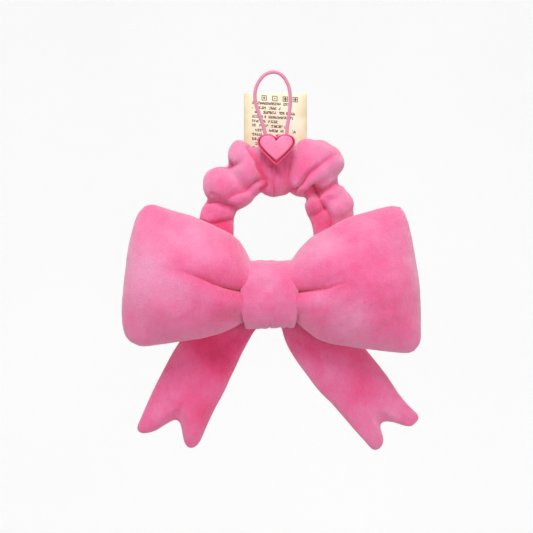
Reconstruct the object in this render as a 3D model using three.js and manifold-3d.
// Plush bow scrunchie on a hanging loop.
// Millimetres. +X is to the right of the front view, the front faces -Y, +Z is up.
// The origin is the point under the crown of the cord loop, where a hook or a peg holds it.

import * as THREE from 'three';
import { mergeVertices } from 'three/addons/utils/BufferGeometryUtils.js';
import Module from 'manifold-3d';

// ---------------------------------------------------------------- driving dimensions

const clearance = 0.3;             // between pieces that touch or nearly touch

// cord loop: points chosen by hand, x and z in the plane y = 0, from the left end to the right end
const cordDiameter = 2;
const cordRoute = [
  [-4.3, -31.8], [-5.4, -28.0], [-6.8, -24.0], [-8.1, -20.0], [-9.3, -16.0], [-9.7, -11.3],
  [-8.9, -7.1], [-6.8, -3.2], [-3.9, -0.3], [0, 1], [3.6, 0.3], [6.3, -1.9],
  [8.6, -5.9], [9.6, -10.2], [9.9, -14.8], [9.5, -20.0], [8.9, -24.5], [8.3, -28.5], [8.0, -31.8],
];

// heart charm
const heartWidth = 20.9;
const heartHeight = 16.9;
const heartDip = 2.7;              // notch between the lobes
const heartX = 2.1;
const heartTop = -33.4;
const trayDepth = 5;
const trayWall = 0.8;
const trayFloor = 1;
const capSideGap = 1;              // dark slot between the tray's wall and the cap
const capTopGap = 0.6;             // the cap sits high in the tray
const capHeight = 12.9;
const capRise = 2;                 // how far the cap stands out of the tray

// plush cloth and elastic ring
const clothThickness = 1.2;
const ringRadius = 30;             // to the middle of the tube
const ringX = 0.85;
const ringBelowHeartTop = 20.7;    // from the heart's top edge to the middle of the tube
const ringY = 13;                  // plane of the ring, behind the cord
const tubeHalfWidth = 14;          // across the tube, in the ring's plane
const tubeHalfDepth = 9.6;         // across the tube, front to back
const crownHalfWidth = 12.5;       // where the charm's thread pinches the tube
const crownHalfDepth = 8.6;
const sideHalfWidth = 10.5;        // flatter stretch beside the knot
const sideHalfDepth = 5.5;
const bundleRun = 6.9;             // how straight the ring leaves the knot before it turns up
const bundleRadius = 5;            // the tube squeezed inside the knot
const elasticWidth = 6;
const elasticThickness = 1;

// knot
const knotWidth = 31.4;
const knotHeight = 39.6;
const knotPinch = 3.6;             // how much narrower the knot is at its top and bottom
const knotFlatBelow = 6;           // flat of the back, below the knot's centre
const knotFront = -16;
const bundleAboveKnot = 7.7;       // the ring passes through the knot's upper half
const knotX = -1.65;
const wrapThickness = 1.6;
const waistHalfHeight = 11.5;
const waistHalfDepth = 6.5;
const waistY = -4;                 // seam plane of the wings
const threadThickness = 0.7;

// wings: outlines in fractions of reach and height, from the neck outwards
const wingNeckGap = 1.2;
const wingBulge = 17;              // stuffed front
const wingBack = 6;                // flatter back, which rests on the ring and the tails
const wingNeckBulge = 6;
const leftWing = {
  side: -1,
  reach: 64,
  height: 77,
  top: [[0, 0.33], [0.2, 0.485], [0.4, 0.556], [0.605, 0.61], [0.777, 0.65]],
  outer: [[0.777, 0.65], [0.892, 0.532], [0.952, 0.304], [0.997, -0.025], [0.967, -0.29], [0.902, -0.353]],
  bottom: [[0, -0.2], [0.081, -0.245], [0.222, -0.29], [0.511, -0.334], [0.789, -0.362], [0.902, -0.353]],
};
const rightWing = {
  side: 1,
  reach: 66.3,
  height: 80,
  top: [[0, 0.29], [0.104, 0.398], [0.235, 0.458], [0.487, 0.551], [0.649, 0.585], [0.825, 0.6]],
  outer: [[0.825, 0.6], [0.909, 0.398], [0.955, 0.196], [0.997, -0.06], [0.995, -0.336], [0.946, -0.385]],
  bottom: [[0, -0.195], [0.136, -0.295], [0.379, -0.355], [0.603, -0.378], [0.784, -0.4], [0.946, -0.385]],
};

// tails: straight ribbons with a notched end, hung from a pivot beside the knot
const tailY = 14;
const tailBulge = 4.8;
const tailRootHalfWidth = 8.6;
const tailFlare = 20;              // length over which the root widens
const tailPivotGap = 1;
const leftTail = { side: -1, lean: 27, below: 17, halfWidth: 17.3, tip: 70.5, notch: 57.2 };
const rightTail = { side: 1, lean: 38, below: 20.6, halfWidth: 16.9, tip: 73.5, notch: 62.7 };

// care label: a folded ribbon sewn to the back of the ring
const labelWidth = 35.6;
const labelX = 1.7;
const labelTop = -8.4;
const labelPly = 0.4;
const labelFoldGap = 0.5;
const labelSeamBelowCrown = 4;

// ---------------------------------------------------------------- places worked out from them

const ringTop = heartTop - ringBelowHeartTop;
const ringZ = ringTop - ringRadius;
const bundleZ = ringZ - ringRadius;
const knotZ = bundleZ - bundleAboveKnot;
const knotBack = ringY + bundleRadius + clearance + wrapThickness;
const knotEdge = knotWidth / 2;
const wingNeck = knotEdge + wingNeckGap;
const labelY = ringY + tubeHalfDepth + clearance + labelPly + labelFoldGap / 2 + 0.2;
const labelSeam = ringTop + labelSeamBelowCrown;

// ---------------------------------------------------------------- mesh helpers

const lerp = THREE.MathUtils.lerp;
const smooth = THREE.MathUtils.smoothstep;

// Closed body from rings of points. The rings close on each other, or their ends are capped
// with strips between point k and point n - 1 - k.
function skin(rings, looped = false) {
  const count = rings[0].length;
  const index = [];
  const at = (ring, k) => (ring % rings.length) * count + (k % count);
  const quad = (a, b, c, d) => index.push(a, b, c, a, c, d);
  const spans = looped ? rings.length : rings.length - 1;
  for (let ring = 0; ring < spans; ring += 1) {
    for (let k = 0; k < count; k += 1) {
      quad(at(ring, k), at(ring + 1, k), at(ring + 1, k + 1), at(ring, k + 1));
    }
  }
  if (!looped) {
    const last = rings.length - 1;
    for (let k = 0; k < count / 2 - 1; k += 1) {
      const far = count - 1 - k;
      quad(at(0, k), at(0, k + 1), at(0, far - 1), at(0, far));
      quad(at(last, far), at(last, far - 1), at(last, k + 1), at(last, k));
    }
  }
  const positions = rings.flat().flatMap((p) => [p.x, p.y, p.z]);
  return facingOut(positions, index);
}

// Geometry from positions and triangles, turned inside out if its volume comes out negative.
function facingOut(positions, index) {
  const point = (i) => new THREE.Vector3().fromArray(positions, 3 * i);
  let volume = 0;
  for (let i = 0; i < index.length; i += 3) {
    const [a, b, c] = [point(index[i]), point(index[i + 1]), point(index[i + 2])];
    volume += a.dot(b.cross(c));
  }
  const order = volume < 0 ? index.slice().reverse() : index;
  const geometry = new THREE.BufferGeometry();
  geometry.setAttribute('position', new THREE.Float32BufferAttribute(positions, 3));
  geometry.setIndex(order);
  geometry.computeVertexNormals();
  return geometry;
}

// Ring of points round an ellipse that stands across a path lying in a plane y = constant.
function ellipseAcross(place, tangent, y, halfWidth, halfDepth, sides) {
  const ring = [];
  for (let k = 0; k < sides; k += 1) {
    const turn = (k + 0.5) / sides * 2 * Math.PI;
    const across = halfWidth * Math.cos(turn);
    ring.push(new THREE.Vector3(
      place.x - tangent.y * across,
      y + halfDepth * Math.sin(turn),
      place.y + tangent.x * across,
    ));
  }
  return ring;
}

// Hollow cloth tube, open at both ends, along a path in the ring's plane.
// size(t) gives the outer half width and half depth at each share t of the path.
function clothTube(path, size, stations, sides) {
  const outside = [];
  const inside = [];
  for (let i = 0; i <= stations; i += 1) {
    const t = i / stations;
    const place = path.getPoint(t);
    const tangent = path.getTangent(t);
    const [halfWidth, halfDepth] = size(t);
    outside.push(ellipseAcross(place, tangent, ringY, halfWidth, halfDepth, sides));
    inside.push(ellipseAcross(place, tangent, ringY, halfWidth - clothThickness,
      halfDepth - clothThickness, sides));
  }
  return skin([...outside, ...inside.reverse()], true);
}

// Closed thread or tape round an ellipse that stands in a plane x = constant.
function loopRoundX(x, y, z, halfDepth, halfHeight, width, thickness, stations) {
  const rings = [];
  for (let i = 0; i < stations; i += 1) {
    const turn = i / stations * 2 * Math.PI;
    const out = new THREE.Vector2(Math.cos(turn), Math.sin(turn));
    const corner = (dx, dr) => new THREE.Vector3(
      x + dx * width / 2,
      y + (halfDepth + dr * thickness) * out.x,
      z + (halfHeight + dr * thickness) * out.y,
    );
    rings.push([corner(-1, 0), corner(1, 0), corner(1, 1), corner(-1, 1)]);
  }
  return skin(rings, true);
}

// Slab between two surfaces that share one grid of x, z places.
function slab(grid, nearY, farY) {
  const rings = grid.map((row, i) => {
    const near = row.map((p, j) => new THREE.Vector3(p.x, nearY(i, j), p.y));
    const far = row.map((p, j) => new THREE.Vector3(p.x, farY(i, j), p.y));
    return [...near, ...far.reverse()];
  });
  return skin(rings);
}

// Front panel, back panel and filling of a stuffed shape. rise(i, j, bulge) is the cloth's height
// above the seam plane; the filling keeps to the grid's inner places.
function stuffed(grid, seamY, rise, frontBulge, backBulge) {
  const half = clearance / 2;
  const front = (i, j) => seamY - half - rise(i, j, frontBulge);
  const back = (i, j) => seamY + half + rise(i, j, backBulge);
  const inner = grid.slice(1, -1).map((row) => row.slice(1, -1));
  const room = 0.9;
  return {
    front: slab(grid, (i, j) => front(i, j) - clothThickness, front),
    back: slab(grid, back, (i, j) => back(i, j) + clothThickness),
    filling: slab(inner, (i, j) => front(i + 1, j + 1) + room, (i, j) => back(i + 1, j + 1) - room),
  };
}

// Steps from 0 to 1 that crowd towards both ends, so that a rounded edge keeps its shape.
function crowded(count) {
  return Array.from({ length: count + 1 }, (_, i) => (1 - Math.cos(Math.PI * i / count)) / 2);
}

// Extrudes a shape drawn in x, z so that it runs from the plane y = back towards -Y.
function extrudeForward(shape, back, depth, options = {}) {
  const geometry = new THREE.ExtrudeGeometry(shape, { depth, bevelEnabled: false, ...options });
  geometry.rotateX(Math.PI / 2);
  geometry.translate(0, back, 0);
  return geometry;
}

// Extrudes a shape drawn in y, z so that it runs along X and is centred on x = middle.
function extrudeAlongX(shape, middle, width) {
  const geometry = new THREE.ExtrudeGeometry(shape, { depth: width, bevelEnabled: false });
  geometry.rotateX(Math.PI / 2);
  geometry.rotateZ(Math.PI / 2);
  geometry.translate(middle - width / 2, 0, 0);
  return geometry;
}

// ---------------------------------------------------------------- booleans

const manifold = await Module();
manifold.setup();

function toSolid(geometry) {
  const bare = geometry.clone();
  bare.deleteAttribute('normal');
  bare.deleteAttribute('uv');
  const merged = mergeVertices(bare, 1e-4);
  return new manifold.Manifold(new manifold.Mesh({
    numProp: 3,
    vertProperties: Float32Array.from(merged.attributes.position.array),
    triVerts: Uint32Array.from(merged.index.array),
  }));
}

function toGeometry(solid) {
  const mesh = solid.getMesh();
  const geometry = new THREE.BufferGeometry();
  geometry.setAttribute('position', new THREE.Float32BufferAttribute(mesh.vertProperties, 3));
  geometry.setIndex(Array.from(mesh.triVerts));
  geometry.computeVertexNormals();
  return geometry;
}

// ---------------------------------------------------------------- materials

function cloth(colour) {
  return new THREE.MeshStandardMaterial({ color: colour, roughness: 0.9, metalness: 0 });
}

const finishes = {
  plush: () => cloth(0xf6629c),
  lightPlush: () => cloth(0xfa85b4),
  filling: () => cloth(0xf2f0ec),
  elastic: () => cloth(0xeae6e0),
  thread: () => cloth(0xe0558c),
  satin: () => cloth(0xeee2c4),
  cord: () => new THREE.MeshStandardMaterial({ color: 0xdf9fae, roughness: 0.55, metalness: 0 }),
  tray: () => new THREE.MeshStandardMaterial({ color: 0xee5c96, roughness: 0.35, metalness: 0 }),
  cap: () => new THREE.MeshStandardMaterial({ color: 0xfb8fbb, roughness: 0.3, metalness: 0 }),
};

const toy = new THREE.Group();

function add(name, geometry, finish) {
  const mesh = new THREE.Mesh(geometry, finishes[finish]());
  mesh.name = name;
  toy.add(mesh);
}

// ---------------------------------------------------------------- hanging loop

function addCord() {
  const points = cordRoute.map(([x, z]) => new THREE.Vector3(x, 0, z));
  const route = new THREE.CatmullRomCurve3(points, false, 'centripetal');
  const section = new THREE.Shape();
  section.absarc(0, 0, cordDiameter / 2, 0, 2 * Math.PI);
  const sides = 8;
  const octagon = new THREE.Shape(section.getSpacedPoints(sides).slice(0, sides));
  const geometry = new THREE.ExtrudeGeometry(octagon, { steps: 26, bevelEnabled: false, extrudePath: route });
  add('hang_loop_cord', geometry, 'cord');
}

// ---------------------------------------------------------------- heart charm

// Heart with its lobes' tops at y = 0 and its tip at y = -height.
function heartShape(width, height, dip) {
  const half = width / 2;
  const shape = new THREE.Shape();
  shape.moveTo(0, -height);
  shape.bezierCurveTo(0.3 * half, -0.93 * height, half, -0.6 * height, half, -0.3 * height);
  shape.bezierCurveTo(half, -0.1 * height, 0.8 * half, 0, 0.52 * half, 0);
  shape.bezierCurveTo(0.28 * half, 0, 0.1 * half, -0.4 * dip, 0, -dip);
  shape.bezierCurveTo(-0.1 * half, -0.4 * dip, -0.28 * half, 0, -0.52 * half, 0);
  shape.bezierCurveTo(-0.8 * half, 0, -half, -0.1 * height, -half, -0.3 * height);
  shape.bezierCurveTo(-half, -0.6 * height, -0.3 * half, -0.93 * height, 0, -height);
  return shape;
}

function addHeart() {
  const trayBack = trayDepth / 2;
  const curves = { curveSegments: 5 };
  const outline = heartShape(heartWidth, heartHeight, heartDip);
  const outside = extrudeForward(outline, trayBack, trayDepth, curves);
  const hollowWidth = heartWidth - 2 * trayWall;
  const hollowHeight = heartHeight - 2.3 * trayWall;
  const hollowOutline = heartShape(hollowWidth, hollowHeight, heartDip);
  const hollow = extrudeForward(hollowOutline, trayBack - trayFloor, trayDepth, curves);
  hollow.translate(0, 0, -trayWall);
  const tray = toGeometry(toSolid(outside).subtract(toSolid(hollow)));
  tray.translate(heartX, 0, heartTop);
  add('heart_tray', tray, 'tray');

  const bevel = 1.4;
  const capWidth = hollowWidth - 2 * capSideGap - 2 * bevel;
  const capBase = trayBack - trayFloor - clearance;
  const capDepth = capBase + trayDepth / 2 + capRise - 2 * bevel;
  const capDip = heartDip + 1.6 * bevel;
  const capOutline = heartShape(capWidth, capHeight - 2 * bevel, capDip);
  const cap = extrudeForward(capOutline, capBase - bevel, capDepth, {
    curveSegments: 5,
    bevelEnabled: true,
    bevelSize: bevel,
    bevelThickness: bevel,
    bevelSegments: 2,
  });
  cap.translate(heartX, 0, heartTop - trayWall - capTopGap - bevel);
  const keptClear = tray.clone().translate(0, 0, -0.6 * clearance);
  add('heart_cap', toGeometry(toSolid(cap).subtract(toSolid(keptClear))), 'cap');

  const tie = loopRoundX(ringX, ringY, ringTop, crownHalfDepth + clearance, crownHalfWidth + clearance,
    threadThickness, threadThickness, 20);
  add('heart_tie_thread', tie, 'thread');
}

// ---------------------------------------------------------------- gathered ring

// Upper half of the ring's centre line, from its left side over the crown to its right side.
class CrownArc extends THREE.Curve {
  getPoint(t, target = new THREE.Vector2()) {
    const turn = Math.PI * (1 - t);
    const lift = clearance / 2;
    return target.set(ringX + ringRadius * Math.cos(turn), ringZ + lift + ringRadius * Math.sin(turn));
  }
}

// Side of the ring, from the knot's edge up to the half height.
function sidePath(side) {
  const start = new THREE.Vector2(knotX + side * (knotEdge + clearance), bundleZ);
  const end = new THREE.Vector2(ringX + side * ringRadius, ringZ - clearance / 2);
  return new THREE.CubicBezierCurve(
    start,
    new THREE.Vector2(start.x + side * bundleRun, bundleZ),
    new THREE.Vector2(end.x, lerp(bundleZ, end.y, 0.45)),
    end,
  );
}

// Tube size over the crown: pinched by the charm's thread and puffed between the gathers.
function crownSize(t) {
  const fromCrown = Math.abs(t - 0.5) * 2;
  const puff = 1 + 0.05 * Math.cos(fromCrown * 4 * Math.PI);
  const spread = smooth(fromCrown, 0, 0.25);
  const ends = smooth(fromCrown, 0.7, 1);
  const halfWidth = lerp(lerp(crownHalfWidth, tubeHalfWidth * puff / 1.05, spread), sideHalfWidth, ends);
  const halfDepth = lerp(lerp(crownHalfDepth, tubeHalfDepth * puff / 1.05, spread), sideHalfDepth, ends);
  return [halfWidth, halfDepth];
}

function addRing() {
  const crown = new CrownArc();
  add('band_cover_top', clothTube(crown, crownSize, 20, 12), 'plush');

  const swell = (t) => smooth(t, 0, 0.6);
  const sideSize = (t) => [
    lerp(bundleRadius, sideHalfWidth, swell(t)),
    lerp(bundleRadius, sideHalfDepth, swell(t)),
  ];
  add('band_cover_left', clothTube(sidePath(-1), sideSize, 8, 12), 'plush');
  add('band_cover_right', clothTube(sidePath(1), sideSize, 8, 12), 'plush');

  const bundle = new THREE.LineCurve(
    new THREE.Vector2(knotX - knotEdge, bundleZ),
    new THREE.Vector2(knotX + knotEdge, bundleZ),
  );
  add('band_cover_bundle', clothTube(bundle, () => [bundleRadius, bundleRadius], 1, 16), 'plush');

  const middle = [];
  for (let i = 0; i < 24; i += 1) middle.push([crown, i / 24]);
  for (let i = 0; i < 8; i += 1) middle.push([sidePath(1), 1 - i / 8]);
  for (let i = 0; i < 8; i += 1) middle.push([sidePath(-1), i / 8]);
  const rings = middle.map(([path, t], i) => {
    const place = path.getPoint(t);
    const before = middle[(i + middle.length - 1) % middle.length];
    const after = middle[(i + 1) % middle.length];
    const tangent = after[0].getPoint(after[1]).sub(before[0].getPoint(before[1])).normalize();
    const corner = (out, deep) => new THREE.Vector3(
      place.x - tangent.y * out * elasticThickness / 2,
      ringY + deep * elasticWidth / 2,
      place.y + tangent.x * out * elasticThickness / 2,
    );
    return [corner(-1, -1), corner(1, -1), corner(1, 1), corner(-1, 1)];
  });
  add('band_elastic', skin(rings, true), 'elastic');
}

// ---------------------------------------------------------------- care label

function addLabel() {
  const outer = labelPly + labelFoldGap / 2;
  const inner = labelFoldGap / 2;
  const straight = labelTop - outer;
  const shape = new THREE.Shape();
  shape.moveTo(-outer, labelSeam);
  shape.lineTo(-outer, straight);
  shape.absarc(0, straight, outer, Math.PI, 0, true);
  shape.lineTo(outer, labelSeam);
  shape.lineTo(inner, labelSeam);
  shape.lineTo(inner, straight);
  shape.absarc(0, straight, inner, 0, Math.PI, false);
  shape.lineTo(-inner, labelSeam);
  const label = extrudeAlongX(shape, labelX, labelWidth);
  label.translate(0, labelY, 0);
  add('care_label', label, 'satin');

  const tack = new THREE.CylinderGeometry(threadThickness / 2, threadThickness / 2, labelWidth - 4, 8);
  tack.rotateZ(Math.PI / 2);
  tack.translate(labelX, labelY - 0.3, labelSeam - outer - clearance - threadThickness / 2);
  add('label_tack_thread', tack, 'thread');
}

// ---------------------------------------------------------------- knot

// Outline of the knot in y, z about its centre, drawn in by an inset: flat back, bulging front.
function knotOutline(inset) {
  const top = knotHeight / 2 - inset;
  const front = knotFront + inset;
  const back = knotBack - inset;
  const flatTop = bundleAboveKnot + 4;
  const flatBottom = -knotFlatBelow;
  const shape = new THREE.Shape();
  shape.moveTo(back, flatBottom);
  shape.lineTo(back, flatTop);
  shape.bezierCurveTo(back, lerp(flatTop, top, 0.75), 0.6 * back, top, 0, top);
  shape.bezierCurveTo(0.6 * front, top, front, 0.6 * top, front, 0);
  shape.bezierCurveTo(front, -0.6 * top, 0.6 * front, -top, 0, -top);
  shape.bezierCurveTo(0.6 * back, -top, back, lerp(flatBottom, -top, 0.75), back, flatBottom);
  return shape;
}

function halfWidthAt(z) {
  const share = Math.min(1, Math.abs(z) / (knotHeight / 2));
  return knotEdge - knotPinch * share ** 2.5;
}

function addKnot() {
  const divisions = 7;
  const open = (shape) => shape.getPoints(divisions).slice(0, -1);
  const outline = open(knotOutline(0));
  const lining = open(knotOutline(wrapThickness));
  const rings = outline.map((p, i) => {
    const q = lining[i];
    const half = halfWidthAt(p.y);
    const corner = (side, from) => new THREE.Vector3(knotX + side * half, from.x, knotZ + from.y);
    return [corner(-1, p), corner(1, p), corner(1, q), corner(-1, q)];
  });
  add('knot_wrap', skin(rings, true), 'lightPlush');

  const padding = knotOutline(wrapThickness + clearance);
  const room = new THREE.Path();
  const threadRoom = threadThickness + 2 * clearance;
  room.absellipse(waistY, 0, waistHalfDepth + threadRoom, waistHalfHeight + threadRoom, 0, 2 * Math.PI);
  const channel = new THREE.Path();
  channel.absarc(ringY, bundleAboveKnot, bundleRadius + clearance, 0, 2 * Math.PI);
  const slot = new THREE.Path();
  const reach = knotBack + 1;
  const lip = bundleRadius + clearance;
  slot.moveTo(ringY, bundleAboveKnot - lip);
  slot.lineTo(reach, bundleAboveKnot - lip);
  slot.lineTo(reach, bundleAboveKnot + lip);
  slot.lineTo(ringY, bundleAboveKnot + lip);
  const paddingWidth = knotWidth - 2 * knotPinch;
  const cutter = (path) => {
    const outlineOnly = new THREE.Shape(path.getPoints(2 * divisions));
    return toSolid(extrudeAlongX(outlineOnly, 0, 2 * knotWidth));
  };
  const block = toSolid(extrudeAlongX(new THREE.Shape(open(padding)), 0, paddingWidth));
  const cut = block.subtract(cutter(room)).subtract(cutter(channel)).subtract(cutter(slot));
  const paddingGeometry = toGeometry(cut);
  paddingGeometry.translate(knotX, 0, knotZ);
  add('knot_padding', paddingGeometry, 'filling');

  const waist = new THREE.Shape();
  waist.absellipse(waistY, knotZ, waistHalfDepth, waistHalfHeight, 0, 2 * Math.PI);
  const waistPoints = waist.getPoints(10).slice(0, -1);
  add('bow_waist', extrudeAlongX(new THREE.Shape(waistPoints), knotX, knotWidth - 1), 'plush');

  const thread = loopRoundX(knotX, waistY, knotZ, waistHalfDepth + clearance, waistHalfHeight + clearance,
    4, threadThickness, 28);
  add('waist_thread', thread, 'thread');

  // the strip's two ends meet in a seam across the back, just under the flat
  const stitches = 11;
  const swing = 1;
  const seamZ = knotZ - knotFlatBelow - 2.6;
  const seamHalf = halfWidthAt(seamZ - knotZ) - 1.5;
  const points = [];
  for (let i = 0; i <= stitches; i += 1) {
    const x = knotX + lerp(-seamHalf, seamHalf, i / stitches);
    points.push(new THREE.Vector3(x, knotBack + threadThickness / 2, seamZ + (i % 2 ? swing : -swing)));
  }
  const zigzag = new THREE.CatmullRomCurve3(points, false, 'catmullrom', 0.1);
  const section = new THREE.Shape();
  section.absarc(0, 0, threadThickness / 2, 0, 2 * Math.PI);
  const hexagon = new THREE.Shape(section.getSpacedPoints(6).slice(0, 6));
  const stitch = new THREE.ExtrudeGeometry(hexagon, { steps: 44, bevelEnabled: false, extrudePath: zigzag });
  add('knot_back_stitch', stitch, 'thread');
}

// ---------------------------------------------------------------- wings

// Places inside four edge curves: the edges' straight blend, less the blend of the corners.
function patch(top, bottom, inner, outer, u, v) {
  const edge = (curve, t) => curve.getPoint(t);
  const across = edge(bottom, u).lerp(edge(top, u), v);
  const along = edge(inner, v).lerp(edge(outer, v), u);
  const low = edge(bottom, 0).lerp(edge(bottom, 1), u);
  const high = edge(top, 0).lerp(edge(top, 1), u);
  return across.add(along).sub(low.lerp(high, v));
}

function wingGrid(wing) {
  const place = ([out, up]) => new THREE.Vector2(
    knotX + wing.side * (wingNeck + out * wing.reach),
    knotZ + up * wing.height,
  );
  const top = new THREE.SplineCurve(wing.top.map(place));
  const bottom = new THREE.SplineCurve(wing.bottom.map(place));
  const outer = new THREE.SplineCurve(wing.outer.map(place).reverse());
  const inner = new THREE.LineCurve(place(wing.bottom[0]), place(wing.top[0]));
  return crowded(11).map((u) => crowded(8).map((v) => patch(top, bottom, inner, outer, u, v)));
}

function addWing(name, wing) {
  const grid = wingGrid(wing);
  const along = crowded(11);
  const roundIn = wingNeckBulge / wing.reach;
  const rise = (i, j, bulge) => {
    const u = along[i];
    const neck = Math.sqrt(Math.min(1, u / roundIn) * (2 - Math.min(1, u / roundIn)));
    const fall = Math.min(1, (1 - u) / 0.45);
    const belly = lerp(Math.min(wingNeckBulge, bulge) / bulge, 1, smooth(u, 0, 0.6));
    const acrossSeam = Math.sin(Math.PI * j / 8) ** 0.8;
    return bulge * neck * belly * Math.sqrt(fall * (2 - fall)) * acrossSeam;
  };
  const pieces = stuffed(grid, waistY, rise, wingBulge, wingBack);
  add(`${name}_front_panel`, pieces.front, 'lightPlush');
  add(`${name}_back_panel`, pieces.back, 'plush');
  add(`${name}_filling`, pieces.filling, 'filling');
}

// ---------------------------------------------------------------- tails

function tailPivot(tail) {
  const out = knotEdge + tailPivotGap + tailRootHalfWidth;
  return new THREE.Vector2(knotX + tail.side * out, knotZ - tail.below);
}

function addTail(name, tail) {
  const lean = THREE.MathUtils.degToRad(tail.lean);
  const down = new THREE.Vector2(tail.side * Math.sin(lean), -Math.cos(lean));
  const outwards = new THREE.Vector2(tail.side * Math.cos(lean), Math.sin(lean));
  const pivot = tailPivot(tail);
  const tipAt = 0.78;
  const ends = (v) => {
    const away = Math.abs(v);
    const point = away < tipAt ? away / tipAt : 1 - 0.35 * ((away - tipAt) / (1 - tipAt)) ** 2;
    return lerp(tail.notch, tail.tip, point);
  };
  const rows = crowded(10);
  const columns = crowded(8).map((share) => 2 * share - 1);
  const grid = rows.map((share) => columns.map((v) => {
    const start = -tailRootHalfWidth * Math.sqrt(1 - v * v);
    const distance = lerp(start, ends(v), share);
    const half = lerp(tailRootHalfWidth, tail.halfWidth, smooth(distance, 0, tailFlare));
    return pivot.clone().addScaledVector(down, distance).addScaledVector(outwards, half * v);
  }));
  const rise = (i, j, bulge) => {
    const fromRoot = Math.min(1, rows[i] / 0.12);
    const fromEnd = Math.min(1, (1 - rows[i]) / 0.12);
    const acrossSeam = Math.sin(Math.PI * j / 8) ** 0.8;
    return bulge * Math.sqrt(fromRoot * fromEnd) * acrossSeam;
  };
  const pieces = stuffed(grid, tailY, rise, tailBulge, tailBulge);
  add(`${name}_front_panel`, pieces.front, 'plush');
  add(`${name}_back_panel`, pieces.back, 'plush');
  add(`${name}_filling`, pieces.filling, 'filling');
}

// ---------------------------------------------------------------- assembly

addCord();
addHeart();
addRing();
addLabel();
addKnot();
addWing('left_wing', leftWing);
addWing('right_wing', rightWing);
addTail('left_tail', leftTail);
addTail('right_tail', rightTail);

export default toy;
